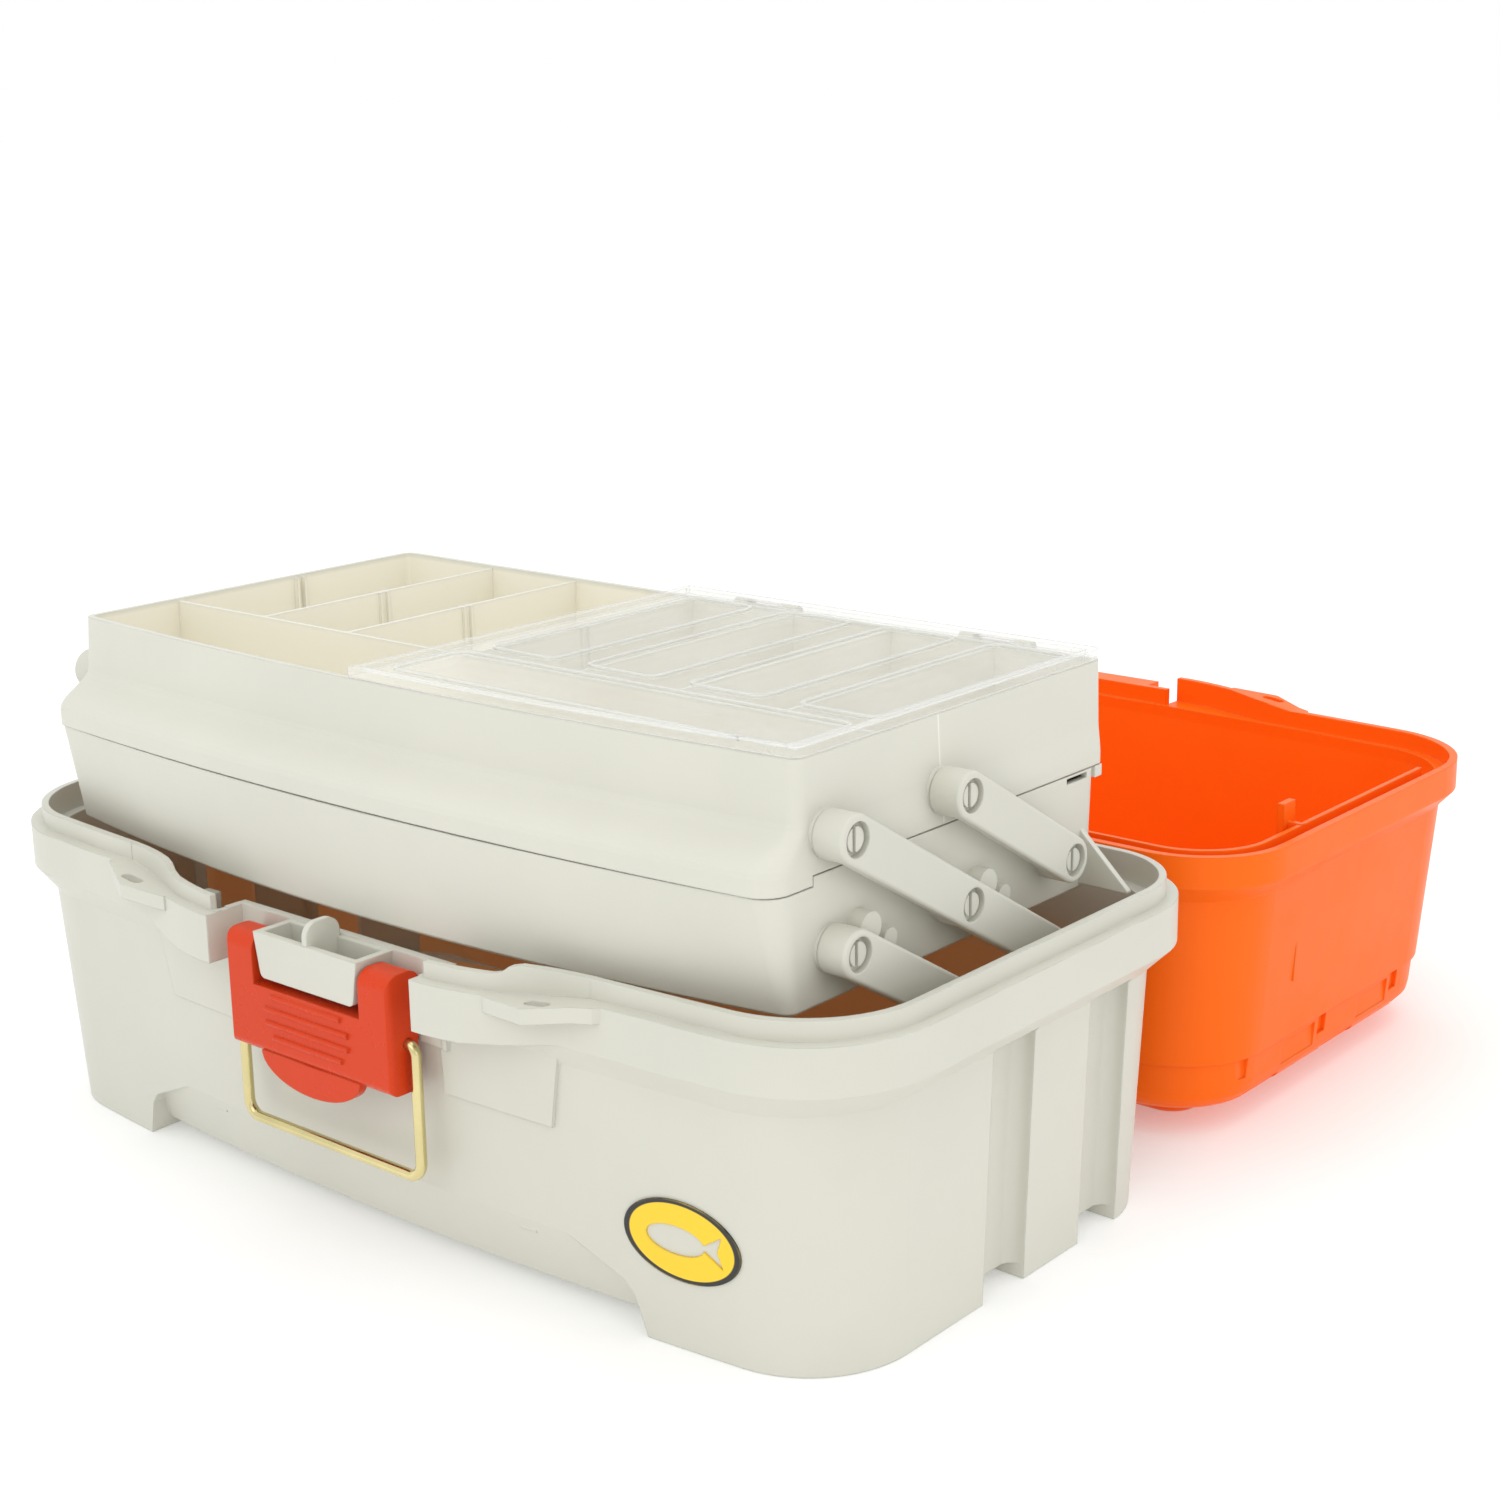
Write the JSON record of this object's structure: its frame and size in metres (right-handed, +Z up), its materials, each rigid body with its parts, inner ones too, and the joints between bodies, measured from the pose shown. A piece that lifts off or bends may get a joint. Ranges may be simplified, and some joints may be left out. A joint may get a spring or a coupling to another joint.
{
  "type": "fishing tackle box",
  "caption": "Plastic fishing tackle box with cantilever lift trays, a clear tray cover, a wire bail latch and a lid that opens flat",
  "frame": {"origin": "on the table under the base, midway along the box and midway between the front and back faces of the base's flange", "axes": "+Z up, +X to the right-hand end seen from the front, +Y to the back, where the lid lies open"},
  "size_m": [0.36, 0.4089, 0.1676],
  "materials": {
    "bone_plastic": "lightly textured moulded plastic, bone white",
    "orange_plastic": "satin orange moulded plastic",
    "latch_plastic": "satin red-orange moulded plastic",
    "clear_plastic": "clear moulded plastic",
    "brass_wire": "brass-plated wire",
    "steel_pin": "plain steel rod",
    "badge_plastic": "yellow plate"
  },
  "bodies": {
    "base": {"base_shell": "bone_plastic", "base_pivot_pins": "bone_plastic", "latch_pins": "steel_pin", "badge": "badge_plastic"},
    "lid": {"lid_shell": "orange_plastic", "lid_hinge_pins": "steel_pin", "handle_pins": "steel_pin"},
    "handle": {"carry_handle": "orange_plastic"},
    "lever": {"latch_lever": "latch_plastic"},
    "bail": {"latch_bail": "brass_wire"},
    "long_arms": {"long_arm_left": "bone_plastic", "long_arm_right": "bone_plastic"},
    "front_arms": {"front_arm_left": "bone_plastic", "front_arm_right": "bone_plastic"},
    "rear_arms": {"rear_arm_left": "bone_plastic", "rear_arm_right": "bone_plastic"},
    "lower": {"lower_tray": "bone_plastic", "lower_tray_pins": "bone_plastic"},
    "upper": {"upper_tray": "bone_plastic", "upper_tray_pins": "bone_plastic", "cover_hinge_pins": "steel_pin"},
    "cover": {"tray_cover": "clear_plastic"}
  },
  "joints": [
    {"name": "lid_hinge", "type": "hinge", "parent": "base", "child": "lid", "pos_m": [0, 0.096, 0.0975], "axis": [-1, 0, 0], "range_deg": [-180, 0]},
    {"name": "handle_pivot", "type": "hinge", "parent": "lid", "child": "handle", "pos_m": [0, 0.175, 0.007], "axis": [1, 0, 0], "range_deg": [-95, 0]},
    {"name": "latch_lever_pivot", "type": "hinge", "parent": "base", "child": "lever", "pos_m": [0, -0.103, 0.0845], "axis": [1, 0, 0], "range_deg": [-100, 0]},
    {"name": "latch_bail_pivot", "type": "hinge", "parent": "lever", "child": "bail", "pos_m": [0, -0.1014, 0.071], "axis": [-1, 0, 0], "range_deg": [0, 180]},
    {"name": "tray_swing", "type": "hinge", "parent": "base", "child": "long_arms", "pos_m": [0, 0.0418, 0.0822], "axis": [-1, 0, 0], "range_deg": [0, 110]},
    {"name": "front_arm_swing", "type": "hinge", "parent": "base", "child": "front_arms", "pos_m": [0, -0.0082, 0.0822], "axis": [-1, 0, 0], "range_deg": [0, 110]},
    {"name": "lower_tray_level", "type": "hinge", "parent": "long_arms", "child": "lower", "pos_m": [0, -0.00901, 0.11297], "axis": [-1, 0, 0], "range_deg": [-110, 0]},
    {"name": "upper_tray_level", "type": "hinge", "parent": "long_arms", "child": "upper", "pos_m": [0, -0.05982, 0.14374], "axis": [-1, 0, 0], "range_deg": [-110, 0]},
    {"name": "rear_arm_swing", "type": "hinge", "parent": "lower", "child": "rear_arms", "pos_m": [0, 0.04099, 0.11297], "axis": [-1, 0, 0], "range_deg": [0, 110]},
    {"name": "cover_hinge", "type": "hinge", "parent": "upper", "child": "cover", "pos_m": [0, 0.0754, 0.1632], "axis": [-1, 0, 0], "range_deg": [0, 110]}
  ],
  "couplings": [
    {"joint": "front_arm_swing", "follows": "tray_swing", "ratio": 1},
    {"joint": "lower_tray_level", "follows": "tray_swing", "ratio": -1},
    {"joint": "upper_tray_level", "follows": "tray_swing", "ratio": -1},
    {"joint": "rear_arm_swing", "follows": "tray_swing", "ratio": 1}
  ]
}
